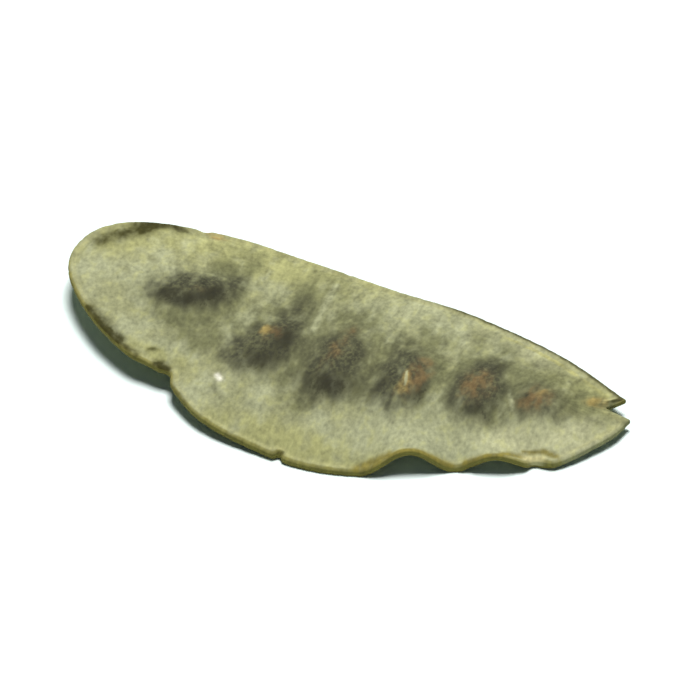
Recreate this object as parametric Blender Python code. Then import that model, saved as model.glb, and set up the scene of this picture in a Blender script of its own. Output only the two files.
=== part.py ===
"""A dried senna pod lying on a flat surface: one thin papery pod with a row of seed bulges.

The pod lies along X, with its rounded end at -X and its torn, split tip at +X. The straighter
margin is at +Y and the waved one at -Y. It rests on three low spots of its margins, at Z = 0.
"""

import bpy
import numpy as np

MM = 0.001  # sizes and places below are in millimetres

# The two margins seen from above, from the rounded end to the prongs of the split tip
ROUNDED_END = (-23.6, 5.3)
FAR_MARGIN = [(-22.4, 7.1), (-20.2, 8.7), (-16.6, 10.2), (-11.3, 11.4), (-5.1, 10.8),
              (2.1, 9.4), (9.3, 8.5), (16.8, 6.7), (23.1, 3.9)]
NEAR_MARGIN = [(-24.0, 3.1), (-23.4, 0.9), (-21.8, -1.3), (-19.3, -3.6), (-16.0, -5.5), (-12.9, -6.2),
               (-10.6, -8.1), (-8.0, -9.6), (-3.8, -10.5), (1.3, -10.9), (5.9, -10.0), (8.8, -8.3),
               (11.6, -7.4), (14.4, -6.3), (17.4, -5.2), (20.2, -3.8), (23.1, -0.1), (24.0, 2.3)]
NOTCH = (21.8, 2.7)  # the bottom of the split between the two prongs
HALF_LENGTH = 24.0

# Small cuts in the margins: side, place along X, half width and depth
FAR, NEAR = 0, 1
CUTS = [(NEAR, -12.4, 0.9, 0.45), (NEAR, -1.2, 0.7, 0.4), (NEAR, 18.7, 1.2, 0.5), (FAR, -15.4, 0.8, 0.2)]
CUT_POWER = 6.0  # how soon a cut dies out from the margin towards the seeds

# How far the middle of the blade stands above the surface
FOOT = 0.35  # where a margin comes down to the surface
NEAR_FOOT_X, FAR_FOOT_X = 2.0, -9.0
END_RISE = 2.35  # of the rounded end above a foot
FAR_RISE, FAR_RISE_LENGTH = 1.35, 17.0  # of the far margin beyond its foot
TIP_RISE, TIP_START = 0.85, 16.0  # of the near margin towards the tip
NOTCH_HEIGHT = 1.4
DOME, DOME_POWER = 1.4, 1.8  # of the middle above its margins
WAVES = [(9.0, 3.8, 1.9), (15.6, 3.5, 1.45)]  # of the near margin: place, half width and height
WAVE_POWER = 3.0  # how soon a wave dies out from the margin towards the seeds
# Shallow puckers of the dry skin: height, and turns per millimetre along X and Y
PUCKERS = [(0.07, 0.07, 0.04), (0.05, -0.05, 0.11)]

# The line of the seeds, a shallow arc between the margins
ROW_BOTTOM = (2.0, -1.3)
ROW_CURVE = 0.0105
ROW_START, ROW_END = -17.0, 18.5
ROW_FOLLOW = 0.5  # how much the row's points follow the margins instead of even steps
ROW_SHRINK = 0.85

# Thickness, from the middle of the blade to one face
BLADE = 0.35
RIM_RISE, RIM_INSET, RIM_WIDTH = 0.08, 0.6, 0.4  # the raised seam that runs along both margins
SEED_RISE, SEED_POWER = 0.65, 1.5
SEED_LENGTH, SEED_WIDTH = 4.7, 3.0  # half sizes of a bulge at its foot
# Each seed's centre, and how its length is turned from X, in degrees
SEEDS = [(-12.9, 2.3, 43.0), (-4.9, -0.9, 72.0), (0.4, -1.4, 80.0),
         (6.2, -0.8, 78.0), (11.8, 0.6, 82.0), (16.7, 0.5, 78.0)]
FOLD_RISE, FOLD_WIDTH, FOLD_LENGTH = 0.14, 1.3, 8.0  # low ridges of the skin between two seeds

# The mesh: steps along each margin, and rings from the margin to the row of seeds
STEPS = 84
NOTCH_STEPS = 3  # the last of them, on each side of the split
NOTCH_SHARE = NOTCH_STEPS / STEPS
CURVE_STEPS = 24  # of the smooth curves between two points of an outline
EDGE_INSETS = (0.22, 0.6, 1.1)  # of the first rings, from the margin
MOST_INSET = 0.4  # share of the way to the row of seeds that those rings may take up
LEAST_SLANT = 0.45  # keeps the insets short where the rings' steps run along the margin
INNER_RINGS = 12
LEAST_AREA = 0.002  # of a triangle seen from above, so that none stands on edge or folds over
LEAST_LEVEL = 0.6  # keeps the blade from thickening on its steepest slopes
SHARP_ANGLE = 60.0

# The three places that it rests on, and how far their low spots are pressed flat
FEET = [(2.0, -11.2), (12.4, -7.2), (-9.0, 11.2)]
FOOT_REACH = 2.5
SETTLE = 0.08

SKIN_COLOUR = (0.42, 0.42, 0.23, 1.0)


def bump(u):
    """A smooth hump, 1 at u = 0 and 0 from u = -1 and u = 1 outwards."""
    return np.cos(0.5 * np.pi * np.clip(u, -1, 1)) ** 2


def ramp(u):
    """A smooth rise from 0 at u = 0 to 1 at u = 1."""
    u = np.clip(u, 0, 1)
    return u * u * (3 - 2 * u)


def smooth_curve(points):
    """A smooth curve through the points, in small steps."""
    points = np.array(points, float)
    knots = np.vstack([2 * points[0] - points[1], points, 2 * points[-1] - points[-2]])
    t = np.linspace(0, 1, CURVE_STEPS, endpoint=False)[:, None]
    pieces = []
    for a, b, c, d in zip(knots, knots[1:], knots[2:], knots[3:]):
        cubic = (3 * b - a - 3 * c + d) * t**3 + (2 * a - 5 * b + 4 * c - d) * t**2
        pieces.append(0.5 * (cubic + (c - a) * t + 2 * b))
    return np.vstack(pieces + [points[-1:]])


def along(curve, shares):
    """The curve's points at the given shares of its length."""
    steps = np.linalg.norm(np.diff(curve, axis=0), axis=1)
    length = np.concatenate([[0], np.cumsum(steps)])
    return np.column_stack([np.interp(shares * length[-1], length, column) for column in curve.T])


def margin_points(shares):
    """Both margins, from the rounded end to the prongs and down into the notch between them."""
    whole = smooth_curve(FAR_MARGIN[::-1] + [ROUNDED_END] + NEAR_MARGIN)
    split = CURVE_STEPS * len(FAR_MARGIN)
    edge_share = np.clip(shares / (1 - NOTCH_SHARE), 0, 1)
    notch_share = np.clip((shares - 1 + NOTCH_SHARE) / NOTCH_SHARE, 0, 1)[:, None]
    margins = []
    for curve in (whole[split::-1], whole[split:]):
        margins.append(along(curve, edge_share) + (NOTCH - curve[-1]) * notch_share)
    return margins, notch_share[:, 0]


def row_points(margins, shares):
    """The line of the seeds, as one point for each pair of margin points."""
    follow = ROW_SHRINK * np.maximum.accumulate(0.5 * (margins[FAR][:, 0] + margins[NEAR][:, 0]))
    even = ROW_START + (ROW_END - ROW_START) * shares
    x = ROW_FOLLOW * follow + (1 - ROW_FOLLOW) * even
    return np.column_stack([x, ROW_BOTTOM[1] + ROW_CURVE * (x - ROW_BOTTOM[0]) ** 2])


def cut_depths(side, x):
    """How far one margin is nicked or torn back, point by point."""
    cuts = [cut[1:] for cut in CUTS if cut[0] == side]
    return sum(depth * bump((x - place) / half_width) for place, half_width, depth in cuts)


def near_height(x):
    """Height of the near margin, without its waves."""
    end = END_RISE * ramp((NEAR_FOOT_X - x) / (NEAR_FOOT_X + HALF_LENGTH))
    tip = TIP_RISE * ramp((x - TIP_START) / (HALF_LENGTH - TIP_START))
    return FOOT + end + tip


def far_height(x):
    """Height of the far margin."""
    end = END_RISE * ramp((FAR_FOOT_X - x) / (FAR_FOOT_X + HALF_LENGTH))
    return FOOT + end + FAR_RISE * ramp((x - FAR_FOOT_X) / FAR_RISE_LENGTH)


def wave_height(x):
    """Rise of the near margin's waves."""
    return sum(height * bump((x - place) / half_width) for place, half_width, height in WAVES)


def pucker_height(x, y):
    """Rise and fall of the blade's shallow puckers."""
    turns = 2 * np.pi
    return sum(height * np.sin(turns * (along_x * x + along_y * y)) for height, along_x, along_y in PUCKERS)


def ring_shares(margin, row):
    """How far each ring lies from the margin (0) to the row of seeds (1), point by point."""
    across = row - margin
    length = np.linalg.norm(across, axis=1)
    run = np.gradient(margin, axis=0)
    run /= np.linalg.norm(run, axis=1)[:, None]
    slant = np.abs(across[:, 0] * run[:, 1] - across[:, 1] * run[:, 0]) / length
    insets = np.outer(1 / np.maximum(slant, LEAST_SLANT), EDGE_INSETS) / length[:, None]
    insets *= np.minimum(1, MOST_INSET / insets[:, -1:])
    inner = np.linspace(0, 1, INNER_RINGS + 1)[1:]
    rest = insets[:, -1:] + (1 - insets[:, -1:]) * inner
    return np.column_stack([np.zeros(len(margin)), insets, rest])


def middle_surface(margins, row, notch_share):
    """The blade's middle surface: an array of points for each side, by step and ring."""
    row_height = 0.5 * (far_height(row[:, 0]) + near_height(row[:, 0]))
    row_height += DOME * (1 - (row[:, 0] / HALF_LENGTH) ** 2)
    sheets = []
    for side, height_of in ((FAR, far_height), (NEAR, near_height)):
        shares = ring_shares(margins[side], row)
        x = margins[side][:, 0]
        height = height_of(x) * (1 - notch_share) + NOTCH_HEIGHT * notch_share
        wave = wave_height(x) * (1 - notch_share) if side == NEAR else np.zeros_like(x)
        out = 1 - shares
        inward = row - margins[side]
        cut = cut_depths(side, x) / np.linalg.norm(inward, axis=1)
        shift = (shares + cut[:, None] * out**CUT_POWER)[..., None]
        plan = margins[side][:, None] + inward[:, None] * shift
        z = row_height[:, None] + (height - row_height)[:, None] * out**DOME_POWER
        z += wave[:, None] * out**WAVE_POWER
        z += pucker_height(plan[..., 0], plan[..., 1]) * (1 - out**WAVE_POWER)
        sheets.append(np.dstack([plan, z]))
    return sheets


def seed_relief(x, y):
    """Rise of one face over the blade where the seeds lie under it."""
    rise = np.zeros_like(x)
    for seed_x, seed_y, degrees in SEEDS:
        turn = np.radians(degrees)
        lengthwise = (x - seed_x) * np.cos(turn) + (y - seed_y) * np.sin(turn)
        sideways = (y - seed_y) * np.cos(turn) - (x - seed_x) * np.sin(turn)
        reach = (lengthwise / SEED_LENGTH) ** 2 + (sideways / SEED_WIDTH) ** 2
        rise = np.maximum(rise, SEED_RISE * np.clip(1 - reach, 0, 1) ** SEED_POWER)
    return rise


def fold_relief(x, y):
    """Rise of the low ridges that cross the pod between one seed and the next."""
    rise = np.zeros_like(x)
    for (x1, y1, turn1), (x2, y2, turn2) in zip(SEEDS, SEEDS[1:]):
        turn = np.radians(0.5 * (turn1 + turn2))
        dx, dy = x - 0.5 * (x1 + x2), y - 0.5 * (y1 + y2)
        lengthwise = dx * np.cos(turn) + dy * np.sin(turn)
        sideways = dy * np.cos(turn) - dx * np.sin(turn)
        rise += FOLD_RISE * bump(lengthwise / FOLD_LENGTH) * bump(sideways / FOLD_WIDTH)
    return rise


def half_thickness(points, inset):
    """Thickness from the middle to one face, measured square to the blade."""
    x, y = points[..., 0], points[..., 1]
    rim = RIM_RISE * bump((inset - RIM_INSET) / RIM_WIDTH)
    return BLADE + rim + seed_relief(x, y) + fold_relief(x, y)


def upright(points):
    """How nearly level the blade is at each point: 1 where level, less on a slope."""
    across = np.gradient(points, axis=0)
    inward = np.gradient(points, axis=1)
    normal = np.cross(across, inward)
    length = np.linalg.norm(normal, axis=2)
    length[length == 0] = 1
    level = np.abs(normal[..., 2]) / length
    level[:, -1] = 1
    level[-NOTCH_STEPS - 1:] = 1
    return np.maximum(level, LEAST_LEVEL)


def settle(edge, tops, bottoms):
    """Tilt and lower the pod onto its three feet, and press their low spots flat."""
    contacts = []
    for foot in FEET:
        near_foot = np.linalg.norm(bottoms[:, :2] - foot, axis=1) < FOOT_REACH
        candidates = bottoms[near_foot]
        contacts.append(candidates[np.argmin(candidates[:, 2])])
    contacts = np.array(contacts)
    slope_x, slope_y, level = np.linalg.solve(np.column_stack([contacts[:, :2], np.ones(3)]), contacts[:, 2])
    for group in (edge, tops, bottoms):
        group[:, 2] -= slope_x * group[:, 0] + slope_y * group[:, 1] + level + SETTLE
    bottoms[:, 2] = np.maximum(bottoms[:, 2], 0)


def plan_area(a, b, c):
    """Area of a triangle seen from above, positive where its corners run clockwise."""
    return 0.5 * ((b[1] - a[1]) * (c[0] - a[0]) - (b[0] - a[0]) * (c[1] - a[1]))


def diagonal_start(spots, rise):
    """The corner, 0 or 1, that the cut across four corners starts from.

    The cut follows the relief, unless a triangle would come out too thin on that side.
    """
    thinnest = []
    for start in (0, 1):
        a, b, c, d = spots[start:] + spots[:start]
        thinnest.append(min(plan_area(a, b, c), plan_area(a, c, d)))
    if min(thinnest) < LEAST_AREA:
        return int(thinnest[1] > thinnest[0])
    return int(abs(rise[1] - rise[3]) < abs(rise[0] - rise[2]))


def pod_geometry():
    """Vertices and triangles of the whole pod, in millimetres."""
    shares = np.linspace(0, 1, STEPS + 1)
    margins, notch_share = margin_points(shares)
    row = row_points(margins, shares)
    far, near = middle_surface(margins, row, notch_share)
    rings = far.shape[1]
    edge = np.vstack([far[:, 0], near[-2:0:-1, 0]])
    edge_count = len(edge)

    # The margin's points come first, then each face: its rings, and its line along the row
    past_rim = RIM_INSET + RIM_WIDTH
    inset = np.array((0,) + EDGE_INSETS + (past_rim,) * INNER_RINGS)

    def face_points(far_values, near_values):
        """The values at one face's points, ring by ring, with the row of seeds last."""
        values = []
        for ring in range(1, rings - 1):
            values += [far_values[:, ring], near_values[-2:0:-1, ring]]
        return np.concatenate(values + [far_values[:, -1]])

    middle = face_points(far, near)
    relief = face_points(*(half_thickness(side, inset) for side in (far, near)))
    offset = relief / face_points(upright(far), upright(near))
    tops = middle + np.outer(offset, (0, 0, 1))
    bottoms = middle - np.outer(offset, (0, 0, 1))
    settle(edge, tops, bottoms)

    def corner(step, ring, face):
        step %= edge_count
        if ring == 0:
            return step
        if ring == rings - 1:
            step = min(step, edge_count - step)
        return edge_count + face * len(middle) + (ring - 1) * edge_count + step

    # Both faces are split along the same diagonals, so the blade stays equally thick
    relief = np.concatenate([np.zeros(edge_count), relief])
    plan = np.vstack([edge, tops])[:, :2]
    triangles = []
    for step in range(edge_count):
        for ring in range(rings - 1):
            places = [(step, ring), (step + 1, ring), (step + 1, ring + 1), (step, ring + 1)]
            corners = [corner(*place, 0) for place in places]
            start = diagonal_start([plan[k] for k in corners], relief[corners])
            places = places[start:] + places[:start]
            a, b, c, d = (corner(*place, 0) for place in places)
            triangles += [(a, c, b), (a, d, c)]
            a, b, c, d = (corner(*place, 1) for place in places)
            triangles += [(a, b, c), (a, c, d)]
    return np.vstack([edge, tops, bottoms]), triangles


def centred(vertices):
    """Move the pod so that the middle of its outline is over the origin."""
    middle = 0.5 * (vertices.min(axis=0) + vertices.max(axis=0))
    return vertices - (middle[0], middle[1], 0)


def skin_material():
    """Dry, matt, sage-green skin."""
    material = bpy.data.materials.new("pod_skin")
    material.use_nodes = True
    shader = material.node_tree.nodes["Principled BSDF"]
    shader.inputs["Base Color"].default_value = SKIN_COLOUR
    shader.inputs["Roughness"].default_value = 0.85
    shader.inputs["Metallic"].default_value = 0.0
    material.diffuse_color = SKIN_COLOUR
    return material


def make_pod():
    """The pod as one closed solid."""
    vertices, triangles = pod_geometry()
    mesh = bpy.data.meshes.new("pod")
    mesh.from_pydata((centred(vertices) * MM).tolist(), [], triangles)
    mesh.validate()
    mesh.shade_smooth()
    mesh.set_sharp_from_angle(angle=np.radians(SHARP_ANGLE))
    mesh.materials.append(skin_material())
    pod = bpy.data.objects.new("pod", mesh)
    bpy.context.scene.collection.objects.link(pod)
    return pod


def main():
    """Clear the scene and build the pod."""
    for thing in list(bpy.data.objects):
        bpy.data.objects.remove(thing, do_unlink=True)
    make_pod()


main()
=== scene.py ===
"""A dried senna pod on a pale floor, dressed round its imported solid.

The pod's skin follows the same outline, waves and seed bulges as the solid, in far smaller steps,
with the veins, crumples and worn edge of the dry pod added. Sizes are in millimetres until the
mesh is made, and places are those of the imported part.
"""

import bpy
import numpy as np
from mathutils import Matrix, Vector, noise
from mathutils.kdtree import KDTree

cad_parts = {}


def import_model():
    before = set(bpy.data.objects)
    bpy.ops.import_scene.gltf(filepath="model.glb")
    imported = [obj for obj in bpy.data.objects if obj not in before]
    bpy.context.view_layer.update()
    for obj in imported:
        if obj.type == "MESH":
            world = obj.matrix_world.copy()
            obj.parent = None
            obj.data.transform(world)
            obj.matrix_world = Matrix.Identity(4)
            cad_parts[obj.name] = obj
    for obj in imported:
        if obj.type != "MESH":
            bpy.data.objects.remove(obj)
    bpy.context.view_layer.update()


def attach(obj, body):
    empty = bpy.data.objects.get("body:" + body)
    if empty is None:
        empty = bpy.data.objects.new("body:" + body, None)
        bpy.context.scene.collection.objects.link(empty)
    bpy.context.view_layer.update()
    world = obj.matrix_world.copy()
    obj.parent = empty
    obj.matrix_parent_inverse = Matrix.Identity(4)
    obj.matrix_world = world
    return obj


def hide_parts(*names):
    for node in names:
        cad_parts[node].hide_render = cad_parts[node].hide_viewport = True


MM = 0.001

# The two margins seen from above, from the rounded end to the prongs of the split tip
ROUNDED_END = (-23.6, 5.3)
FAR_MARGIN = [(-22.4, 7.1), (-20.2, 8.7), (-16.6, 10.2), (-11.3, 11.4), (-5.1, 10.8),
              (2.1, 9.4), (9.3, 8.5), (16.8, 6.7), (23.1, 3.9)]
NEAR_MARGIN = [(-24.0, 3.1), (-23.4, 0.9), (-21.8, -1.3), (-19.3, -3.6), (-16.0, -5.5), (-12.9, -6.2),
               (-10.6, -8.1), (-8.0, -9.6), (-3.8, -10.5), (1.3, -10.9), (5.9, -10.0), (8.8, -8.3),
               (11.6, -7.4), (14.4, -6.3), (17.4, -5.2), (20.2, -3.8), (23.1, -0.1), (24.0, 2.3)]
NOTCH = (21.8, 2.7)  # the bottom of the split
HALF_LENGTH = 24.0

# Small cuts in the margins: side, place along X, half width and depth
FAR, NEAR = 0, 1
CUTS = [(NEAR, -12.4, 0.9, 0.45), (NEAR, -1.2, 0.5, 0.4), (NEAR, 18.7, 1.2, 0.5), (FAR, -15.4, 0.8, 0.2)]
CUT_POWER = 6.0
RAGGED, RAGGED_PITCH, RAGGED_OCTAVES = 0.07, 0.9, 3  # the margins' fine unevenness

# How far the middle of the blade stands above the surface
FOOT = 0.35
NEAR_FOOT_X, FAR_FOOT_X = 2.0, -9.0
END_RISE = 2.35
FAR_RISE, FAR_RISE_LENGTH = 1.35, 17.0
TIP_RISE, TIP_START = 0.85, 16.0
NOTCH_HEIGHT = 1.4
DOME, DOME_POWER = 1.4, 1.8
WAVES = [(9.0, 3.8, 1.9), (15.6, 3.5, 1.45)]  # place along X, half width and height
WAVE_POWER = 3.0
PUCKERS = [(0.07, 0.07, 0.04), (0.05, -0.05, 0.11)]  # height, and turns in a millimetre along X and Y

# The line of the seeds
ROW_BOTTOM = (2.0, -1.3)
ROW_CURVE = 0.0105
ROW_START, ROW_END = -17.0, 18.5
ROW_FOLLOW = 0.5
ROW_SHRINK = 0.85

# Thickness, from the middle of the blade to one face
BLADE = 0.35
EDGE_BLADE, EDGE_TAPER, EDGE_ROUND = 0.25, 1.6, 0.09  # thinner and rounded at the edge
RIM_RISE, RIM_INSET, RIM_WIDTH = 0.07, 0.27, 0.23
SEED_RISE, SEED_POWER = 0.65, 1.5
SEED_LENGTH, SEED_WIDTH = 4.7, 3.0
# Each seed: its place, and its turn from X in degrees
SEEDS = [(-12.9, 2.3, 43.0), (-4.9, -0.9, 72.0), (0.4, -1.4, 80.0),
         (6.2, -0.8, 78.0), (11.8, 0.6, 82.0), (16.7, 0.5, 78.0)]
FOLD_RISE, FOLD_WIDTH, FOLD_LENGTH = 0.14, 1.3, 8.0

# Fine relief of the dry skin: depths or heights, and pitches
VEIN_DEPTH, VEIN_PITCH, VEIN_LENGTH = 0.04, 0.9, 4.0
VEIN_SOFTNESS = 0.01
CRUMPLE_RISE, CRUMPLE_PITCH, CRUMPLE_OCTAVES = 0.05, 1.9, 2
GRIT_RISE, GRIT_PITCH = 0.008, 0.55
GROOVE_DEPTH, GROOVE_INSET, GROOVE_WIDTH = 0.05, 0.66, 0.3
RELIEF_INSET = 0.5  # how far in from the edge the relief is whole

# The noise: where its fractal's octaves lie, and the seed of each pattern
FRACTAL_FALL, FRACTAL_STEP = 1.0, 2.0
NOISE_SHIFT = (17.3, 5.1, 9.7)
RAGGED_SEED, WAVER_SEED = 1, 61
FACES = [(1, 11), (-1, 31)]  # the way each face looks from the blade's middle, and its first seed

# How far the two sides and the two faces stand apart in the noise's space, so that they don't match
SIDES_APART, PLACES_APART, GRAINS_APART, UNDER_APART = 3.0, 20.0, 40.0, 60.0

# The mesh
STEPS = 420
NOTCH_STEPS = 15
NOTCH_SHARE = NOTCH_STEPS / STEPS
CURVE_STEPS = 60
EDGE_INSETS = (0.01, 0.035, 0.075, 0.13, 0.22, 0.34, 0.48, 0.64, 0.84, 1.1)
MOST_INSET = 0.4
LEAST_SLANT = 0.45
INNER_RINGS = 47
LEAST_LEVEL = 0.6
CROWDED = (0.3, 0.6)  # the spacing of the steps at which relief begins, and the run to its whole height
VEIN_SPACING = 0.6

# The low spots that the pod rests on: where each is looked for, how far round, and how far it is pressed
FEET = [(2.0, -11.2), (12.4, -7.2), (-9.0, 11.2)]
FOOT_REACH = 2.5
SETTLE = 0.08

# Soft patches of the skin, and patches of painted light: place, half length, half width, turn from X in
# degrees, and strength
SHADED = [(-1.0, -0.4, 9.5, 4.1, 0.0, 0.74), (10.5, 0.4, 7.5, 3.5, 6.0, 0.74),
          (-12.8, 1.2, 4.4, 3.5, 15.0, 0.66), (18.8, 2.2, 4.4, 2.2, -8.0, 0.64),
          (14.2, 0.4, 2.8, 1.5, 85.0, 0.7), (-2.9, -0.8, 3.0, 0.9, 88.0, 0.85),
          (2.8, -1.2, 2.8, 0.9, 88.0, 0.5), (-11.3, 5.6, 3.8, 1.7, 80.0, 0.9),
          (-4.8, 5.0, 4.4, 2.0, 84.0, 0.85), (0.3, 3.8, 2.4, 1.7, 88.0, 0.92),
          (5.8, 3.6, 2.6, 1.8, 84.0, 0.55), (12.3, 4.2, 2.4, 1.6, 80.0, 0.5),
          (-1.2, -6.0, 1.5, 1.1, 70.0, 0.7), (-12.0, -1.6, 2.8, 1.6, -25.0, 0.75),
          (-2.5, 8.2, 2.0, 1.0, 85.0, 0.35), (-5.5, -7.6, 3.2, 1.4, -5.0, 0.26),
          (22.0, 1.8, 1.5, 1.0, 0.0, 0.25), (9.0, 6.2, 2.0, 1.2, 0.0, 0.22)]
STAINS = [(-13.3, 2.4, 3.2, 2.2, 20.0, 0.88), (-15.4, 1.1, 1.4, 1.0, 0.0, 0.4),
          (-10.9, 4.4, 2.0, 1.1, 60.0, 0.5), (-11.3, 6.0, 1.9, 0.9, 80.0, 0.25),
          (-5.6, -1.1, 3.4, 2.4, 66.0, 0.95), (-7.9, -2.4, 1.8, 1.3, 30.0, 0.6),
          (-4.9, 3.6, 2.6, 1.3, 84.0, 0.55), (0.1, -1.5, 4.0, 2.6, 88.0, 0.91),
          (-0.9, -4.9, 1.3, 1.0, 70.0, 0.25), (5.7, -1.4, 3.4, 2.3, 86.0, 0.88),
          (5.2, 2.4, 1.9, 1.3, 84.0, 0.4), (11.8, -0.1, 3.3, 2.2, 88.0, 0.88),
          (12.4, 3.2, 1.7, 1.0, 80.0, 0.35), (16.7, 0.3, 2.1, 2.1, 60.0, 0.72),
          (18.6, 0.9, 1.4, 1.1, 60.0, 0.35), (0.3, 3.4, 1.9, 1.2, 84.0, 0.3)]
DARK_SPOTS = [(-11.6, 2.3, 1.6, 0.7, 60.0, 0.95), (-13.8, 1.0, 2.0, 0.7, 8.0, 0.85),
              (-15.2, 0.6, 0.6, 0.5, 0.0, 0.6), (-4.7, -0.3, 1.6, 1.0, 80.0, 0.9),
              (-5.7, -3.2, 1.8, 1.0, 10.0, 0.65), (0.5, -3.8, 2.1, 1.2, 10.0, 0.9),
              (1.3, -0.6, 1.6, 0.6, 84.0, 0.3), (-1.6, -1.5, 1.6, 0.6, 84.0, 0.25),
              (7.8, -2.3, 1.2, 0.6, 80.0, 0.7), (4.4, -2.4, 1.4, 0.8, 80.0, 0.55),
              (12.6, -2.4, 1.5, 0.8, 15.0, 0.6), (13.7, -1.1, 0.9, 0.5, 80.0, 0.5),
              (12.9, 2.5, 1.0, 0.5, 80.0, 0.45), (15.4, 0.1, 0.9, 0.5, 80.0, 0.35)]
BROWNS = [(6.9, -0.9, 1.9, 0.9, 84.0, 0.95), (6.9, 1.0, 0.6, 0.5, 80.0, 0.4),
          (11.6, 0.1, 1.7, 1.1, 86.0, 0.95), (16.5, 0.3, 1.5, 1.3, 50.0, 0.85),
          (-5.6, 0.2, 1.0, 0.8, 80.0, 0.8), (-0.2, -0.2, 2.2, 0.8, 84.0, 0.6),
          (0.2, 2.9, 0.9, 0.6, 84.0, 0.5), (-14.2, 10.0, 0.8, 0.6, 15.0, 1.0),
          (-12.7, 2.2, 1.2, 0.7, 30.0, 0.3)]
GOLDS = [(-6.4, 0.3, 0.8, 0.4, -70.0, 1.0), (6.2, -2.6, 0.7, 0.45, 70.0, 0.9),
         (6.1, -1.3, 1.0, 0.4, 84.0, 0.55), (16.8, 1.1, 0.7, 0.4, 60.0, 0.45),
         (21.0, 2.5, 0.9, 0.5, 20.0, 1.0), (-14.2, 10.1, 0.9, 0.5, 15.0, 1.0)]
WARM_AREAS = [(-9.0, 8.8, 9.0, 2.6, 2.0, 1.0), (-20.5, 6.5, 3.4, 2.0, 45.0, 0.9),
              (-1.0, -9.6, 7.5, 1.4, 0.0, 0.9), (19.8, 2.2, 3.6, 2.2, -10.0, 1.0),
              (3.0, -0.5, 1.6, 0.4, 86.0, 0.8), (-14.0, -5.2, 3.0, 0.9, -10.0, 0.8)]
# Painted light: lighter patches on the slopes towards the tip and on the far side, standing in for light
# that falls there
PAINTED_LIGHT_AREAS = [(17.0, -3.5, 3.4, 1.3, 25.0, 0.9), (21.0, -1.0, 2.5, 1.6, 55.0, 1.0),
                (14.2, 5.6, 3.0, 1.0, -15.0, 0.7)]
# Paler, cooler patches of the skin; those on the near side towards the tip are partly painted light
PALE_AND_LIT_AREAS = [(10.5, -5.4, 8.0, 1.6, 12.0, 1.0), (2.3, 6.4, 5.0, 2.0, -6.0, 0.9),
              (19.5, -2.2, 4.5, 1.9, 40.0, 1.0), (-20.5, 2.0, 2.8, 2.0, 80.0, 0.3)]

# Lines of the skin, and lines of painted shade: from, to, half width and strength
PALE_LINES = [(-2.9, 2.0, -3.2, 8.0, 0.45, 0.7), (-8.6, 0.6, -8.0, 3.2, 0.7, 0.5),
              (14.2, 0.6, 15.2, -1.2, 0.3, 0.55), (-19.4, -2.3, -18.9, -2.2, 0.35, 0.6),
              (6.0, -0.8, 6.35, -2.3, 0.14, 1.0)]
SPECK = [(-8.35, -5.4, -8.05, -5.7, 0.23, 1.0)]
# Painted shade where the margins fold and curl, round the rounded end and along the near margin
FOLD_SHADE_LINES = [(-20.3, -2.5, -18.9, -3.7, 0.7, 0.8), (-18.9, -3.7, -17.1, -4.9, 0.75, 1.0),
               (-17.0, -5.0, -15.2, -5.6, 0.4, 0.7), (-22.3, 4.9, -20.8, 6.3, 0.85, 0.7),
               (-20.8, 6.3, -19.7, 7.7, 0.8, 0.8), (-19.8, 7.6, -19.0, 8.9, 1.0, 1.0),
               (-18.9, 8.7, -16.8, 9.3, 0.55, 0.8), (-13.1, -6.0, -12.5, -6.3, 0.5, 1.0),
               (-14.3, -4.8, -14.0, -4.6, 0.3, 0.6), (-8.1, -6.6, -7.9, -6.9, 0.3, 0.5),
               (-7.6, -7.1, -7.3, -7.5, 0.25, 0.35), (-11.6, -7.4, -8.6, -9.8, 0.25, 0.4),
               (-1.3, -10.8, -1.0, -10.5, 0.25, 0.7)]
WAVE_BROWNS = [(5.3, -10.1, 7.5, -8.9, 0.55, 1.0), (7.5, -8.9, 10.0, -7.9, 0.38, 0.95),
               (10.0, -7.9, 12.0, -7.3, 0.42, 0.95), (13.2, -6.8, 15.8, -5.8, 0.36, 0.9),
               (15.8, -5.6, 17.2, -4.8, 0.35, 1.0), (17.2, -4.3, 18.6, -3.7, 0.22, 0.9),
               (18.6, -3.7, 19.8, -3.7, 0.28, 1.0)]
TORN_BITS = [(17.5, -4.75, 18.7, -4.35, 0.33, 1.0)]

# How patches and strokes are drawn
PATCH_FALL, STROKE_FALL = 0.8, 1.1
PATCH_POWER, STAIN_POWER = 2.0, 3.2  # a higher power fills a patch out and hardens its edge
WAVER, WAVER_PITCH, WAVER_STRETCH, WAVER_OCTAVES = 0.5, 1.6, 0.6, 3  # how unevenly their outlines run
BROWN_UNDER = 0.35  # how much of the browns shows on the underside

# Bands along the margins: distance of the band's middle from the edge, and half width
# The first two are bands of painted shade: on the far margin's edge wall, and in the groove inside the
# rounded end
FAR_EDGE_SHADE_BAND, GROOVE_SHADE_BAND = (0.2, 0.3), (0.75, 0.22)
BEAD_BAND, RIM_BAND = (0.95, 0.35), (0.45, 0.35)
GROOVE_SHADE_STRENGTH = 0.35

# Where such marks begin, and over how long a run they reach their full strength
FAR_SIDE, NEAR_SIDE = (0.0, 2.0), (-1.0, 4.0)  # across the pod
PRONG_START, PRONG_SPLIT = (19.0, 2.0), (2.4, 0.6)  # the lower prong, along and across the pod
# where the painted shade on the far margin's edge wall begins
FAR_EDGE_SHADE_REACH = (-2.0, 14.0)  # the dark line along the far margin
BEAD_REACH = (9.0, 5.0)  # the yellow line inside it
# where the painted shade in the groove inside the rounded end begins
GROOVE_SHADE_REACH = (16.0, 3.0)  # the dark line inside the rounded end, measured towards that end
BORDER_FADE, WALL_FADE = (0.06, 0.34), (0.015, 0.06)  # away from the edge
BORDER_FAR, BORDER_NEAR = 0.3, 0.6  # strength on the far side, and what the near side adds
WALL_UNDER = 0.25  # how much further the edge's colour runs in on the underside
PRONG_PALER, WALL_LEAST = 0.8, 0.2
STREAK_LEAST, STREAK_SIDE, STREAK_END = 0.3, (-1.5, 3.5), (-21.0, 6.0)  # the streaks of the grain
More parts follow.
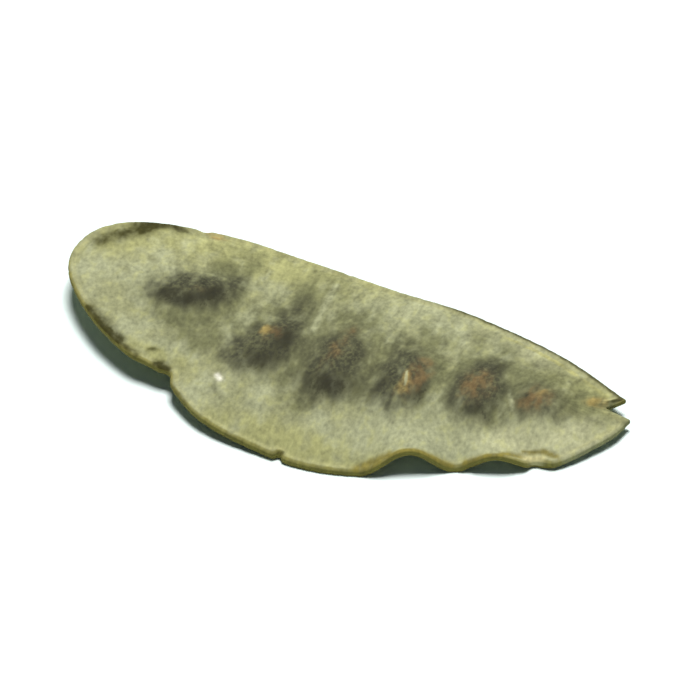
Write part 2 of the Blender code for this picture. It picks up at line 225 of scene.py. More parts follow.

# Colours of the dry skin, and of the light and shade painted on it, as linear values
SAGE = (0.300, 0.306, 0.166)
PALE = (0.362, 0.376, 0.228)
STRAW = (0.335, 0.335, 0.142)
SHADE = (0.140, 0.145, 0.068)
STAIN = (0.045, 0.045, 0.029)
DARK = (0.020, 0.019, 0.011)
BROWN = (0.165, 0.108, 0.046)
GOLD = (0.330, 0.250, 0.085)
# the lighter colour of the painted light
PAINTED_LIGHT = (0.440, 0.445, 0.265)
# painted shade of the margins' folds and curls, of the far edge wall and of the groove inside the rounded
# end
MARGIN_SHADE = (0.030, 0.028, 0.004)
RIM = (0.360, 0.352, 0.165)
WALL = (0.215, 0.190, 0.044)
BORDER = (0.230, 0.210, 0.058)
BEAD = (0.400, 0.385, 0.150)
TORN = (0.520, 0.480, 0.240)
WAVE_BROWN = (0.200, 0.168, 0.034)
WHITE = (0.900, 0.880, 0.740)

# The skin's noises: stretch along each axis, detail, roughness and distortion
STREAKS = ((1.3, 0.3, 0.3), 2.0, 0.5, 0.3)
CLOUDS = ((0.28, 0.28, 0.28), 3.0, 0.55, 0.0)
BLOTCHES = ((0.85, 0.55, 1.0), 2.0, 0.5, 0.0)
MOTTLE = ((1.4, 1.0, 1.0), 2.0, 0.5, 0.2)
SPECKLE = ((3.2, 2.4, 1.0), 2.0, 0.5, 0.0)

# Layers of colour from below: mark, noise, start and end of the step, unevenness, share and colour
GROUND_LAYERS = [
    # paler skin tone, and partly painted light on the near side towards the tip
    ("pale", "blotches", 0.0, 1.0, 2.0, 0.8, PALE),
    ("warm", "blotches", 0.0, 0.9, 3.0, 0.85, STRAW),
    # painted light on the slopes towards the tip and on the far side
    ("painted_light", "blotches", 0.0, 0.8, 1.5, 0.9, PAINTED_LIGHT),
]
MARK_LAYERS = [
    ("bead", "mottle", 0.0, 0.9, 3.0, 0.7, BEAD),
    ("shaded", "blotches", 0.0, 0.9, 2.2, 0.9, SHADE),
    ("stain", "blotches", 0.05, 0.95, 1.8, 0.9, STAIN),
    ("stain", "speckle", 0.5, 1.5, 5.0, 0.42, SHADE),
    ("brown", "mottle", 0.1, 1.1, 3.0, 0.75, BROWN),
    ("dark", "mottle", 0.0, 1.0, 2.5, 0.62, DARK),
    ("dark", "speckle", 0.3, 1.3, 6.0, 0.6, DARK),
    ("gold", "mottle", 0.1, 1.0, 2.0, 0.8, GOLD),
    ("line", "mottle", 0.1, 1.0, 2.0, 0.7, PALE),
    ("rim", "mottle", 0.0, 1.0, 2.0, 0.45, RIM),
    ("border", "mottle", 0.0, 0.8, 1.5, 0.85, BORDER),
    # painted shade: along the margins' folds and curls, then on the far edge wall and in the groove
    ("fold_shade", "mottle", -0.1, 1.0, 1.8, 0.95, MARGIN_SHADE),
    ("edge_shade", "mottle", 0.05, 0.9, 2.0, 0.8, MARGIN_SHADE),
    ("wave", "mottle", 0.0, 1.0, 1.5, 0.88, WAVE_BROWN),
]
PLAIN_LAYERS = [("wall", WALL), ("torn", TORN), ("speck", WHITE)]
CLOUD_STEP, STRAW_STEP = (0.40, 0.60), (0.50, 0.70, 0.4)  # start, end and top
STREAK_SWING, MOTTLE_SWING, SPECKLE_SWING = 0.9, 0.8, 0.8  # how much each noise lightens and darkens

# The skin's finish
ROUGHNESS, ROUGHNESS_STEP = 0.78, (0.2, 0.8, 0.16)
SPECULAR = 0.18
BUMP_STRENGTH, BUMP_DISTANCE = 0.6, 0.10
BUMP_MOTTLE, BUMP_STREAKS = 1.2, 0.7

# The floor and the light
FLOOR = (0.82, 0.93, 0.93)
FLOOR_ROUGHNESS, FLOOR_SPECULAR = 0.9, 0.1
FLOOR_REACH = 1.5  # in metres, as the light's and the camera's places
FLOOR_DROP = 0.01  # in millimetres
SKY, SKY_STRENGTH = (0.70, 0.92, 1.0), 0.07
KEY_PLACE, KEY_SIZE = (-0.04, 0.24, 0.89), 0.34
KEY_ENERGY, KEY_COLOUR = 12.0, (1.0, 0.985, 0.95)

# The camera's direction from the pod, and its place for the photo's framing
CAMERA_AZIMUTH, CAMERA_ELEVATION = 20.0, 45.0
CAMERA_LENS, CAMERA_SENSOR, CAMERA_CLIP = 600.0, 36.0, 0.01
CAMERA_DISTANCE = 0.9351
AIM_RIGHT, AIM_UP = 0.00090, 0.00186

# Sockets of the Mix node when it mixes colours
MIX_LOW, MIX_HIGH, MIX_RESULT = 6, 7, 2


def bump(u):
    """A smooth hump, 1 at u = 0 and 0 from u = -1 and u = 1 outwards."""
    return np.cos(0.5 * np.pi * np.clip(u, -1, 1)) ** 2


def ramp(u):
    """A smooth rise from 0 at u = 0 to 1 at u = 1."""
    u = np.clip(u, 0, 1)
    return u * u * (3 - 2 * u)


def rise(value, limits):
    """A smooth rise from 0 to 1. The limits are where it starts and how long its run is."""
    start, run = limits
    return ramp((value - start) / run)


def band(distance, place):
    """A soft band along the margin: 1 at its middle and 0 outside its half width."""
    middle, half_width = place
    return bump((distance - middle) / half_width)


def noise_at(points, pitch, seed, octaves=1):
    """Smooth noise from -1 to 1 at each point of an array of (x, y, z) rows."""
    shift = Vector([seed * part for part in NOISE_SHIFT])
    flat = np.asarray(points, float).reshape(-1, 3) / pitch
    if octaves == 1:
        values = [noise.noise(Vector(p) + shift) for p in flat]
    else:
        values = [noise.fractal(Vector(p) + shift, FRACTAL_FALL, FRACTAL_STEP, octaves) for p in flat]
    return np.clip(np.array(values).reshape(np.shape(points)[:-1]), -1, 1)


def smooth_curve(points):
    """A smooth curve through the points, in small steps."""
    points = np.array(points, float)
    knots = np.vstack([2 * points[0] - points[1], points, 2 * points[-1] - points[-2]])
    t = np.linspace(0, 1, CURVE_STEPS, endpoint=False)[:, None]
    pieces = []
    for a, b, c, d in zip(knots, knots[1:], knots[2:], knots[3:]):
        cubic = (3 * b - a - 3 * c + d) * t**3 + (2 * a - 5 * b + 4 * c - d) * t**2
        pieces.append(0.5 * (cubic + (c - a) * t + 2 * b))
    return np.vstack(pieces + [points[-1:]])


def along(curve, shares):
    """The curve's points at the given shares of its length."""
    steps = np.linalg.norm(np.diff(curve, axis=0), axis=1)
    length = np.concatenate([[0], np.cumsum(steps)])
    return np.column_stack([np.interp(shares * length[-1], length, column) for column in curve.T])


def margin_points(shares):
    """Both margins, from the rounded end to the prongs and on to the bottom of the split.

    With them comes how far each point lies along the split: 0 up to the prongs, and 1 at its bottom.
    """
    whole = smooth_curve(FAR_MARGIN[::-1] + [ROUNDED_END] + NEAR_MARGIN)
    split = CURVE_STEPS * len(FAR_MARGIN)
    edge_share = np.clip(shares / (1 - NOTCH_SHARE), 0, 1)
    notch_share = np.clip((shares - 1 + NOTCH_SHARE) / NOTCH_SHARE, 0, 1)[:, None]
    margins = []
    for curve in (whole[split::-1], whole[split:]):
        margins.append(along(curve, edge_share) + (NOTCH - curve[-1]) * notch_share)
    return margins, notch_share[:, 0]


def row_points(margins, shares):
    """The line of the seeds, as one point for each pair of margin points."""
    follow = ROW_SHRINK * np.maximum.accumulate(0.5 * (margins[FAR][:, 0] + margins[NEAR][:, 0]))
    even = ROW_START + (ROW_END - ROW_START) * shares
    x = ROW_FOLLOW * follow + (1 - ROW_FOLLOW) * even
    return np.column_stack([x, ROW_BOTTOM[1] + ROW_CURVE * (x - ROW_BOTTOM[0]) ** 2])


def cut_depths(side, margin):
    """How far one margin is nicked, torn or worn back, point by point."""
    x = margin[:, 0]
    places = np.column_stack([margin, np.full(len(margin), SIDES_APART * side)])
    worn = RAGGED * np.abs(noise_at(places, RAGGED_PITCH, RAGGED_SEED, RAGGED_OCTAVES))
    cuts = [cut[1:] for cut in CUTS if cut[0] == side]
    return worn + sum(depth * bump((x - place) / half_width) for place, half_width, depth in cuts)


def near_height(x):
    """Height of the near margin, without its waves."""
    end = END_RISE * ramp((NEAR_FOOT_X - x) / (NEAR_FOOT_X + HALF_LENGTH))
    tip = TIP_RISE * ramp((x - TIP_START) / (HALF_LENGTH - TIP_START))
    return FOOT + end + tip


def far_height(x):
    """Height of the far margin."""
    end = END_RISE * ramp((FAR_FOOT_X - x) / (FAR_FOOT_X + HALF_LENGTH))
    return FOOT + end + FAR_RISE * ramp((x - FAR_FOOT_X) / FAR_RISE_LENGTH)


def wave_height(x):
    """Rise of the near margin's waves."""
    return sum(height * bump((x - place) / half_width) for place, half_width, height in WAVES)


def pucker_height(x, y):
    """Rise and fall of the blade's shallow puckers."""
    turns = 2 * np.pi
    return sum(height * np.sin(turns * (along_x * x + along_y * y)) for height, along_x, along_y in PUCKERS)


def ring_shares(margin, row):
    """How far each ring lies from the margin (0) to the row of seeds (1), point by point."""
    across = row - margin
    length = np.linalg.norm(across, axis=1)
    run = np.gradient(margin, axis=0)
    run /= np.linalg.norm(run, axis=1)[:, None]
    slant = np.abs(across[:, 0] * run[:, 1] - across[:, 1] * run[:, 0]) / length
    insets = np.outer(1 / np.maximum(slant, LEAST_SLANT), EDGE_INSETS) / length[:, None]
    insets *= np.minimum(1, MOST_INSET / insets[:, -1:])
    inner = np.linspace(0, 1, INNER_RINGS + 1)[1:]
    rest = insets[:, -1:] + (1 - insets[:, -1:]) * inner
    return np.column_stack([np.zeros(len(margin)), insets, rest])


def middle_surface(margins, row, notch_share):
    """The blade's middle surface: an array of points for each side, by step and ring."""
    row_height = 0.5 * (far_height(row[:, 0]) + near_height(row[:, 0]))
    row_height += DOME * (1 - (row[:, 0] / HALF_LENGTH) ** 2)
    sheets = []
    for side, height_of in ((FAR, far_height), (NEAR, near_height)):
        shares = ring_shares(margins[side], row)
        x = margins[side][:, 0]
        height = height_of(x) * (1 - notch_share) + NOTCH_HEIGHT * notch_share
        wave = wave_height(x) * (1 - notch_share) if side == NEAR else np.zeros_like(x)
        out = 1 - shares
        inward = row - margins[side]
        cut = cut_depths(side, margins[side]) / np.linalg.norm(inward, axis=1)
        shift = (shares + cut[:, None] * out**CUT_POWER)[..., None]
        plan = margins[side][:, None] + inward[:, None] * shift
        z = row_height[:, None] + (height - row_height)[:, None] * out**DOME_POWER
        z += wave[:, None] * out**WAVE_POWER
        z += pucker_height(plan[..., 0], plan[..., 1]) * (1 - out**WAVE_POWER)
        sheets.append(np.dstack([plan, z]))
    return sheets


def seed_relief(x, y):
    """Rise of one face over the blade where the seeds lie under it."""
    relief = np.zeros_like(x)
    for seed_x, seed_y, degrees in SEEDS:
        turn = np.radians(degrees)
        lengthwise = (x - seed_x) * np.cos(turn) + (y - seed_y) * np.sin(turn)
        sideways = (y - seed_y) * np.cos(turn) - (x - seed_x) * np.sin(turn)
        reach = (lengthwise / SEED_LENGTH) ** 2 + (sideways / SEED_WIDTH) ** 2
        relief = np.maximum(relief, SEED_RISE * np.clip(1 - reach, 0, 1) ** SEED_POWER)
    return relief


def fold_relief(x, y):
    """Rise of the low ridges that cross the pod between one seed and the next."""
    relief = np.zeros_like(x)
    for (x1, y1, turn1), (x2, y2, turn2) in zip(SEEDS, SEEDS[1:]):
        turn = np.radians(0.5 * (turn1 + turn2))
        dx, dy = x - 0.5 * (x1 + x2), y - 0.5 * (y1 + y2)
        lengthwise = dx * np.cos(turn) + dy * np.sin(turn)
        sideways = dy * np.cos(turn) - dx * np.sin(turn)
        relief += FOLD_RISE * bump(lengthwise / FOLD_LENGTH) * bump(sideways / FOLD_WIDTH)
    return relief


def upright(points):
    """How nearly level the blade is at each point: 1 where level, less on a slope.

    The row of the seeds and the split count as level.
    """
    normal = np.cross(np.gradient(points, axis=0), np.gradient(points, axis=1))
    length = np.linalg.norm(normal, axis=2)
    length[length == 0] = 1
    level = np.abs(normal[..., 2]) / length
    level[:, -1] = 1
    level[-NOTCH_STEPS - 1:] = 1
    return np.maximum(level, LEAST_LEVEL)


def edge_distance(outline, points):
    """Distance from each point to the pod's outline, seen from above."""
    tree = KDTree(len(outline))
    for index, (x, y) in enumerate(outline):
        tree.insert((x, y, 0.0), index)
    tree.balance()
    return np.array([tree.find((x, y, 0.0))[2] for x, y in points])


def half_thickness(x, y, distance, whole):
    """Thickness from the middle to one face. whole is 1 along the margins and 0 in the split."""
    outward = np.clip(1 - distance / EDGE_ROUND, 0, 1)
    blade = EDGE_BLADE + (BLADE - EDGE_BLADE) * ramp(distance / EDGE_TAPER)
    blade *= np.sqrt(1 - outward**2)
    rim = RIM_RISE * bump((distance - RIM_INSET) / RIM_WIDTH) * whole
    groove = GROOVE_DEPTH * bump((distance - GROOVE_INSET) / GROOVE_WIDTH) * whole
    return blade + rim - groove + seed_relief(x, y) + fold_relief(x, y)


def skin_relief(grain, places, distance, spread, seed):
    """Veins, crumples and grit of one face, fading out at the edge and where the steps crowd together."""
    stretch = VEIN_PITCH / VEIN_LENGTH
    veins = noise_at(grain * (1, stretch, stretch), VEIN_PITCH, seed)
    veins = np.sqrt(veins**2 + VEIN_SOFTNESS) * ramp(spread / VEIN_SPACING)
    crumples = noise_at(places, CRUMPLE_PITCH, seed + 1, CRUMPLE_OCTAVES)
    grit = noise_at(places, GRIT_PITCH, seed + 2)
    inside = ramp(distance / RELIEF_INSET)
    return (CRUMPLE_RISE * crumples - VEIN_DEPTH * veins + GRIT_RISE * grit) * inside


def settle(edge, tops, bottoms):
    """Tilt and lower the pod onto its three feet, and press their low spots flat."""
    contacts = []
    for foot in FEET:
        near_foot = np.linalg.norm(bottoms[:, :2] - foot, axis=1) < FOOT_REACH
        candidates = bottoms[near_foot]
        contacts.append(candidates[np.argmin(candidates[:, 2])])
    contacts = np.array(contacts)
    slope_x, slope_y, level = np.linalg.solve(np.column_stack([contacts[:, :2], np.ones(3)]), contacts[:, 2])
    for group in (edge, tops, bottoms):
        group[:, 2] -= slope_x * group[:, 0] + slope_y * group[:, 1] + level + SETTLE
    bottoms[:, 2] = np.maximum(bottoms[:, 2], 0)


def ring_order(far_values, near_values):
    """One face's values, ring by ring from the margin, with the row of seeds last."""
    values = []
    for ring in range(1, far_values.shape[1] - 1):
        values += [far_values[:, ring], near_values[-2:0:-1, ring]]
    return np.concatenate(values + [far_values[:, -1]])


def grain_map(sheet, row):
    """Skin coordinates of one side: along the pod, away from the seeds, and the place across the pod.

    They run on without a jump from one side to the other, at the row of seeds and round both ends.
    """
    lengthwise = np.linspace(0, 2 * HALF_LENGTH, len(sheet))[:, None] * np.ones(sheet.shape[1])
    away = np.linalg.norm(sheet[..., :2] - row[:, None], axis=2)
    return np.dstack([lengthwise, away, sheet[..., 1]])


def step_spread(sheet):
    """How far apart the steps lie at each point, as a share of their even spacing."""
    apart = np.linalg.norm(np.gradient(sheet[..., :2], axis=0), axis=2)
    return apart * STEPS / (2 * HALF_LENGTH)


def face_points(middle, grain, distance, spread, level, whole):
    """The points of the upper face and of the under face, over and under the blade's middle."""
    thickness = half_thickness(middle[:, 0], middle[:, 1], distance, whole)
    faces = []
    for way, seed in FACES:
        places = middle * (1, 1, 0) + (0, 0, PLACES_APART * way)
        fine = skin_relief(grain + (0, 0, GRAINS_APART * way), places, distance, spread, seed)
        faces.append(middle + np.outer(way * (thickness + fine) / level, (0, 0, 1)))
    return faces


def face_quads(count, rings, face_size):
    """The quads between the rings of both faces, as rows of vertex numbers."""
    steps = np.arange(count)

    def corner(step, ring, face):
        """The numbers of the vertices at these steps of a ring."""
        step = step % count
        if ring == 0:
            return step
        if ring == rings - 1:
            step = np.minimum(step, count - step)
        return count + face * face_size + (ring - 1) * count + step

    quads = []
    for ring in range(rings - 1):
        for face in (0, 1):
            places = [(steps, ring), (steps + 1, ring), (steps + 1, ring + 1), (steps, ring + 1)]
            quad = np.column_stack([corner(*place, face) for place in places])
            quads.append(quad if face else quad[:, ::-1])
    return np.vstack(quads)


def pod_skin():
    """Vertices, quads and what the marks are drawn from, for the whole pod."""
    shares = np.linspace(0, 1, STEPS + 1)
    margins, notch_share = margin_points(shares)
    row = row_points(margins, shares)
    far, near = middle_surface(margins, row, notch_share)
    rings = far.shape[1]
    edge = np.vstack([far[:, 0], near[-2:0:-1, 0]])
    middle = ring_order(far, near)
    count, face_size = len(edge), len(middle)

    far_grain, near_grain = grain_map(far, row), grain_map(near, row)
    grain = ring_order(far_grain, near_grain)
    edge_grain = np.vstack([far_grain[:, 0], near_grain[-2:0:-1, 0]])
    spread = ring_order(step_spread(far), step_spread(near))
    calm = rise(spread, CROWDED)
    level = 1 - (1 - ring_order(upright(far), upright(near))) * calm
    whole_sheet = np.outer(1 - notch_share, np.ones(rings))
    whole = ring_order(whole_sheet, whole_sheet)
    distance = edge_distance(edge[:, :2], middle[:, :2])

    tops, bottoms = face_points(middle, grain, distance, spread, level, whole)
    settle(edge, tops, bottoms)
    vertices = np.vstack([edge, tops, bottoms])
    middle_of_box = 0.5 * (vertices.min(axis=0) + vertices.max(axis=0))
    vertices -= (middle_of_box[0], middle_of_box[1], 0)

    under = np.concatenate([np.zeros(count), np.zeros(face_size), np.ones(face_size)])
    shift = np.outer(under, (0, 0, UNDER_APART))
    ground = {
        "grain": np.vstack([edge_grain, grain, grain]) + shift,
        "place": vertices * (1, 1, 0) + shift,
        "calm": np.concatenate([np.ones(count), calm, calm]),
        "edge": np.concatenate([np.zeros(count), distance, distance]),
        "whole": np.concatenate([np.ones(count), whole, whole]),
        "under": under,
    }
    return vertices, face_quads(count, rings, face_size), ground


def patches(x, y, table, power=PATCH_POWER):
    """Soft oval patches, from 0 to 1, before the skin's noise breaks them up."""
    drawn = np.zeros_like(x)
    for place_x, place_y, half_length, half_width, degrees, strength in table:
        turn = np.radians(degrees)
        lengthwise = (x - place_x) * np.cos(turn) + (y - place_y) * np.sin(turn)
        sideways = (y - place_y) * np.cos(turn) - (x - place_x) * np.sin(turn)
        reach = np.hypot(lengthwise / half_length, sideways / half_width)
        drawn = 1 - (1 - drawn) * (1 - strength * np.exp(-PATCH_FALL * reach**power))
    return drawn


def strokes(x, y, table):
    """Soft strokes, each drawn from one point to another: 1 along its line and fading to its sides."""
    drawn = np.zeros_like(x)
    for x1, y1, x2, y2, half_width, strength in table:
        run = np.array((x2 - x1, y2 - y1))
        share = ((x - x1) * run[0] + (y - y1) * run[1]) / (run @ run)
        share = np.clip(share, 0, 1)
        away = np.hypot(x - x1 - share * run[0], y - y1 - share * run[1])
        drawn = np.maximum(drawn, strength * np.exp(-STROKE_FALL * (away / half_width) ** 2))
    return drawn


def wavered(vertices):
    """Places moved a little by noise, so that what is drawn from them has an uneven outline."""
    places = vertices * (1, WAVER_STRETCH, 1)
    moves = [noise_at(places, WAVER_PITCH, WAVER_SEED + axis, WAVER_OCTAVES) for axis in (0, 1)]
    return [vertices[:, axis] + WAVER * move for axis, move in enumerate(moves)]


def edge_marks(x, y, ground):
    """The marks that follow the pod's margins, with painted shade on the far edge wall and in the groove
    inside the rounded end among them.
    """
    edge, whole, under = ground["edge"], ground["whole"], ground["under"]
    upper = 1 - under
    lower_prong = rise(x, PRONG_START) * (1 - rise(y, PRONG_SPLIT))
    far_side = rise(y, FAR_SIDE) * whole * (1 - lower_prong)
    near_side = 1 - rise(y, NEAR_SIDE)
    dark_side = whole * (1 - PRONG_PALER * lower_prong)
    # painted shade: a dark line on the far margin's edge wall, and a fainter one in the groove inside the
    # rounded end
    far_wall_shade = rise(x, FAR_EDGE_SHADE_REACH) * far_side * band(edge, FAR_EDGE_SHADE_BAND)
    groove_shade = rise(-x, GROOVE_SHADE_REACH) * band(edge, GROOVE_SHADE_BAND) * upper
    border = BORDER_FAR + BORDER_NEAR * near_side
    wall_start, wall_run = WALL_FADE
    wall = 1 - rise(edge, (wall_start, wall_run + WALL_UNDER * under))
    return {
        # painted shade on the far edge wall and in the groove
        "edge_shade": np.maximum(far_wall_shade, GROOVE_SHADE_STRENGTH * groove_shade),
        "bead": rise(x, BEAD_REACH) * far_side * band(edge, BEAD_BAND) * upper,
        "rim": band(edge, RIM_BAND) * whole,
        "border": (1 - rise(edge, BORDER_FADE)) * border * dark_side,
        "wall": wall * (WALL_LEAST + (1 - WALL_LEAST) * dark_side),
    }


def skin_marks(vertices, ground):
    """All that the material reads: where each point lies in the skin, and how strong each mark is there."""
    x, y = vertices[:, 0], vertices[:, 1]
    loose_x, loose_y = wavered(vertices)
    mild_x, mild_y = 0.5 * (x + loose_x), 0.5 * (y + loose_y)
    upper = 1 - ground["under"]
    streak_side = STREAK_LEAST + (1 - STREAK_LEAST) * rise(y, STREAK_SIDE)
    marks = {
        "grain": ground["grain"],
        "place": ground["place"],
        "even": ground["calm"] * streak_side * rise(x, STREAK_END),
        "shaded": patches(loose_x, loose_y, SHADED),
        "stain": patches(loose_x, loose_y, STAINS, STAIN_POWER),
        "dark": patches(loose_x, loose_y, DARK_SPOTS),
        "warm": patches(loose_x, loose_y, WARM_AREAS),
        # paler skin tone, and partly painted light on the near side towards the tip
        "pale": patches(loose_x, loose_y, PALE_AND_LIT_AREAS),
        # painted light on the slopes towards the tip and on the far side
        "painted_light": patches(loose_x, loose_y, PAINTED_LIGHT_AREAS),
        "brown": patches(mild_x, mild_y, BROWNS) * (BROWN_UNDER + (1 - BROWN_UNDER) * upper),
        "gold": patches(mild_x, mild_y, GOLDS) * upper,
        # painted shade where the margins fold and curl
        "fold_shade": strokes(mild_x, mild_y, FOLD_SHADE_LINES) * upper,
        "line": strokes(mild_x, mild_y, PALE_LINES) * upper,
        "speck": strokes(x, y, SPECK) * upper,
        "torn": strokes(x, y, TORN_BITS) * upper,
        "wave": strokes(x, y, WAVE_BROWNS),
    }
    marks.update(edge_marks(x, y, ground))
    return marks


class Nodes:
    """Short calls that add nodes to one material and join them up."""

    def __init__(self, material):
        material.use_nodes = True
        self.tree = material.node_tree
        self.shader = self.tree.nodes["Principled BSDF"]

    def feed(self, socket, value):
        """Join a socket to another, or set it to a plain value."""
        if isinstance(value, bpy.types.NodeSocket):
            self.tree.links.new(value, socket)
        elif isinstance(value, tuple) and len(socket.default_value) == 4:
            socket.default_value = (*value, 1.0)
        else:
            socket.default_value = value

    def value(self, name):
        """A number stored on the mesh."""
        node = self.tree.nodes.new("ShaderNodeAttribute")
        node.attribute_name = name
        return node.outputs["Fac"]

    def vector(self, name):
        """A vector stored on the mesh."""
        node = self.tree.nodes.new("ShaderNodeAttribute")
        node.attribute_name = name
        return node.outputs["Vector"]

    def math(self, operation, a, b=0.0):
        """One sum of two numbers."""
        node = self.tree.nodes.new("ShaderNodeMath")
        node.operation = operation
        self.feed(node.inputs[0], a)
        self.feed(node.inputs[1], b)
        return node.outputs[0]

    def noise(self, vector, stretch, detail, roughness, distortion):
        """Noise from 0 to 1, from a vector whose parts are scaled first."""
        scaled = self.tree.nodes.new("ShaderNodeMapping")
        self.feed(scaled.inputs["Vector"], vector)
        scaled.inputs["Scale"].default_value = stretch
        node = self.tree.nodes.new("ShaderNodeTexNoise")
        self.feed(node.inputs["Vector"], scaled.outputs[0])
        node.inputs["Scale"].default_value = 1.0
        node.inputs["Detail"].default_value = detail
        node.inputs["Roughness"].default_value = roughness
        node.inputs["Distortion"].default_value = distortion
        return node.outputs["Fac"]

    def step(self, value, low, high, top=1.0):
        """A smooth rise from 0 at low to top at high."""
        node = self.tree.nodes.new("ShaderNodeMapRange")
        node.interpolation_type = "SMOOTHSTEP"
        self.feed(node.inputs["Value"], value)
        node.inputs["From Min"].default_value = low
        node.inputs["From Max"].default_value = high
        node.inputs["To Max"].default_value = top
        return node.outputs[0]

    def mix(self, share, low, high):
        """One colour over another."""
        node = self.tree.nodes.new("ShaderNodeMix")
        node.data_type = "RGBA"
        self.feed(node.inputs["Factor"], share)
        self.feed(node.inputs[MIX_LOW], low)
        self.feed(node.inputs[MIX_HIGH], high)
        return node.outputs[MIX_RESULT]

    def swing(self, noise, amount, share=1.0):
        """Noise as a swing round zero."""
        centred = self.math("SUBTRACT", noise, 0.5)
        return self.math("MULTIPLY", self.math("MULTIPLY", centred, share), amount)

    def scale(self, colour, factor):
        """A colour made lighter or darker."""
        node = self.tree.nodes.new("ShaderNodeVectorMath")
        node.operation = "SCALE"
        self.feed(node.inputs[0], colour)
        self.feed(node.inputs["Scale"], factor)
        return node.outputs[0]

    def broken(self, mask, noise, low, high, amount):
        """A mask that noise breaks up, most where it is strong, then steps up from low to high."""
        uneven = self.math("MULTIPLY", mask, self.math("ADD", self.swing(noise, amount), 1.0))
        return self.step(uneven, low, high)

    def laid(self, colour, noises, layers):
        """A colour with layers laid over it where their marks are, each broken up by one of the noises."""
        for mark, breaker, low, high, amount, share, over in layers:
            mask = self.broken(self.value(mark), noises[breaker], low, high, amount)
            colour = self.mix(self.math("MULTIPLY", mask, share), colour, over)
        return colour


def skin_colour(nodes, noises):
    """Sage green in two shades, with the marks over it, painted light and shade among them, and the skin's
    mottle through it all.
    """
    colour = nodes.mix(nodes.step(noises["clouds"], *CLOUD_STEP), SAGE, PALE)
    colour = nodes.laid(colour, noises, GROUND_LAYERS)
    colour = nodes.mix(nodes.step(noises["mottle"], *STRAW_STEP), colour, STRAW)
    colour = nodes.laid(colour, noises, MARK_LAYERS)
    for mark, over in PLAIN_LAYERS:
        colour = nodes.mix(nodes.value(mark), colour, over)
    streaks = nodes.swing(noises["streaks"], STREAK_SWING, nodes.value("even"))
    light = nodes.math("ADD", streaks, nodes.swing(noises["mottle"], MOTTLE_SWING))
    light = nodes.math("ADD", light, nodes.swing(noises["speckle"], SPECKLE_SWING))
    return nodes.scale(colour, nodes.math("ADD", light, 1.0))


def skin_bumps(nodes, noises):
    """The skin's finest roughness, which only tilts the light."""
    mottle = nodes.math("MULTIPLY", noises["mottle"], BUMP_MOTTLE)
    streaks = nodes.math("MULTIPLY", noises["streaks"], BUMP_STREAKS)
    bumps = nodes.tree.nodes.new("ShaderNodeBump")
    bumps.inputs["Strength"].default_value = BUMP_STRENGTH
    bumps.inputs["Distance"].default_value = BUMP_DISTANCE * MM
    nodes.feed(bumps.inputs["Height"], nodes.math("ADD", mottle, streaks))
    return bumps.outputs[0]


def skin_material():
    """Dry, matt, sage-green skin with dark patches over the seeds."""
    material = bpy.data.materials.new("pod_skin")
    nodes = Nodes(material)
    place = nodes.vector("place")
    noises = {
        "streaks": nodes.noise(nodes.vector("grain"), *STREAKS),
        "clouds": nodes.noise(place, *CLOUDS),
        "blotches": nodes.noise(place, *BLOTCHES),
        "mottle": nodes.noise(place, *MOTTLE),
        "speckle": nodes.noise(place, *SPECKLE),
    }
    rougher = nodes.step(noises["mottle"], *ROUGHNESS_STEP)
    nodes.feed(nodes.shader.inputs["Base Color"], skin_colour(nodes, noises))
    nodes.feed(nodes.shader.inputs["Roughness"], nodes.math("ADD", rougher, ROUGHNESS))
    nodes.feed(nodes.shader.inputs["Normal"], skin_bumps(nodes, noises))
    nodes.shader.inputs["Specular IOR Level"].default_value = SPECULAR
    return material


def floor_material():
    """Matt, nearly white floor."""
    material = bpy.data.materials.new("floor")
    nodes = Nodes(material)
    nodes.feed(nodes.shader.inputs["Base Color"], FLOOR)
    nodes.shader.inputs["Roughness"].default_value = FLOOR_ROUGHNESS
    nodes.shader.inputs["Specular IOR Level"].default_value = FLOOR_SPECULAR
    return material


def store(mesh, marks):
    """Keep one number or vector for each vertex on the mesh, for the material to read."""
    for name, numbers in marks.items():
        kind, field = ("FLOAT_VECTOR", "vector") if numbers.ndim == 2 else ("FLOAT", "value")
        stored = mesh.attributes.new(name, kind, "POINT")
        stored.data.foreach_set(field, numbers.astype(np.float32).ravel())


def make_pod():
    """The pod's skin, in place of its plain solid."""
    vertices, quads, ground = pod_skin()
    mesh = bpy.data.meshes.new("pod_skin")
    mesh.from_pydata((vertices * MM).tolist(), [], quads.tolist())
    store(mesh, skin_marks(vertices, ground))
    mesh.validate()
    mesh.shade_smooth()
    mesh.materials.append(skin_material())
    pod = bpy.data.objects.new("pod_skin", mesh)
    bpy.context.scene.collection.objects.link(pod)
    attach(pod, "root")
    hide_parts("pod")


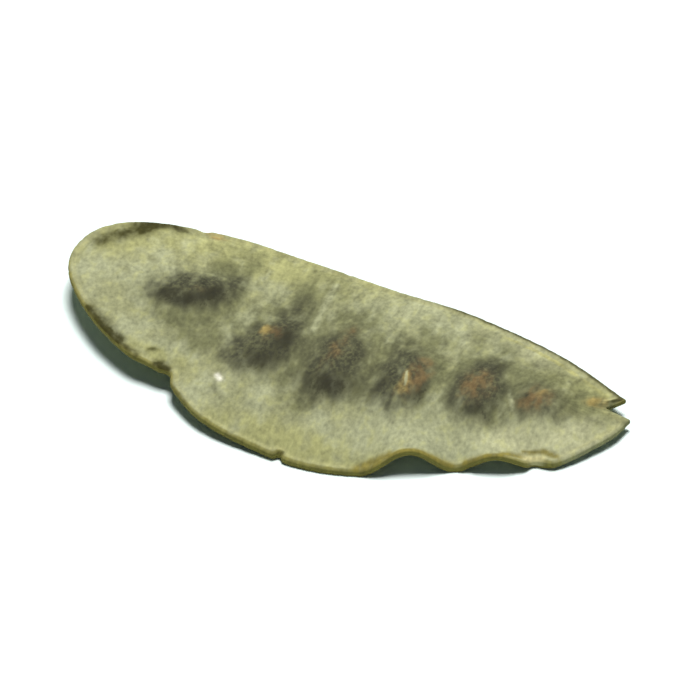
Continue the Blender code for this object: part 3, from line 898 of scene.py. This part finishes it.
def make_floor():
    """A plain white floor."""
    mesh = bpy.data.meshes.new("floor")
    signs = ((-1, -1), (1, -1), (1, 1), (-1, 1))
    places = [(x * FLOOR_REACH, y * FLOOR_REACH, -FLOOR_DROP * MM) for x, y in signs]
    mesh.from_pydata(places, [], [(0, 1, 2, 3)])
    mesh.materials.append(floor_material())
    floor = bpy.data.objects.new("floor", mesh)
    bpy.context.scene.collection.objects.link(floor)


def make_key_light():
    """A soft square light above the pod and a little behind it, which shines on the pod."""
    light = bpy.data.lights.new("key", "AREA")
    light.shape = "SQUARE"
    light.size = KEY_SIZE
    light.energy = KEY_ENERGY
    light.color = KEY_COLOUR
    lamp = bpy.data.objects.new("key", light)
    lamp.location = KEY_PLACE
    lamp.rotation_euler = Vector(KEY_PLACE).to_track_quat("Z", "Y").to_euler()
    bpy.context.scene.collection.objects.link(lamp)


def make_sky():
    """A pale, weak sky all round, with the picture's colours left as they are."""
    world = bpy.data.worlds.new("sky")
    world.use_nodes = True
    background = world.node_tree.nodes["Background"]
    background.inputs["Color"].default_value = (*SKY, 1.0)
    background.inputs["Strength"].default_value = SKY_STRENGTH
    bpy.context.scene.world = world
    bpy.context.scene.view_settings.view_transform = "Standard"


def make_camera():
    """The camera at the photo's angle and framing."""
    azimuth, elevation = np.radians((CAMERA_AZIMUTH, CAMERA_ELEVATION))
    right = Vector((np.cos(azimuth), np.sin(azimuth), 0.0))
    level_back = Vector((np.sin(azimuth), -np.cos(azimuth), 0.0))
    back = level_back * np.cos(elevation) + Vector((0.0, 0.0, np.sin(elevation)))
    up = back.cross(right)
    lens = bpy.data.cameras.new("camera")
    lens.lens = CAMERA_LENS
    lens.sensor_width = CAMERA_SENSOR
    lens.clip_start = CAMERA_CLIP
    camera = bpy.data.objects.new("camera", lens)
    camera.matrix_world = Matrix((right, up, back)).transposed().to_4x4()
    camera.location = AIM_RIGHT * right + AIM_UP * up + CAMERA_DISTANCE * back
    bpy.context.scene.collection.objects.link(camera)
    bpy.context.scene.camera = camera


def main():
    """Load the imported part, dress it and light it."""
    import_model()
    make_pod()
    make_floor()
    make_key_light()
    make_sky()
    make_camera()


main()
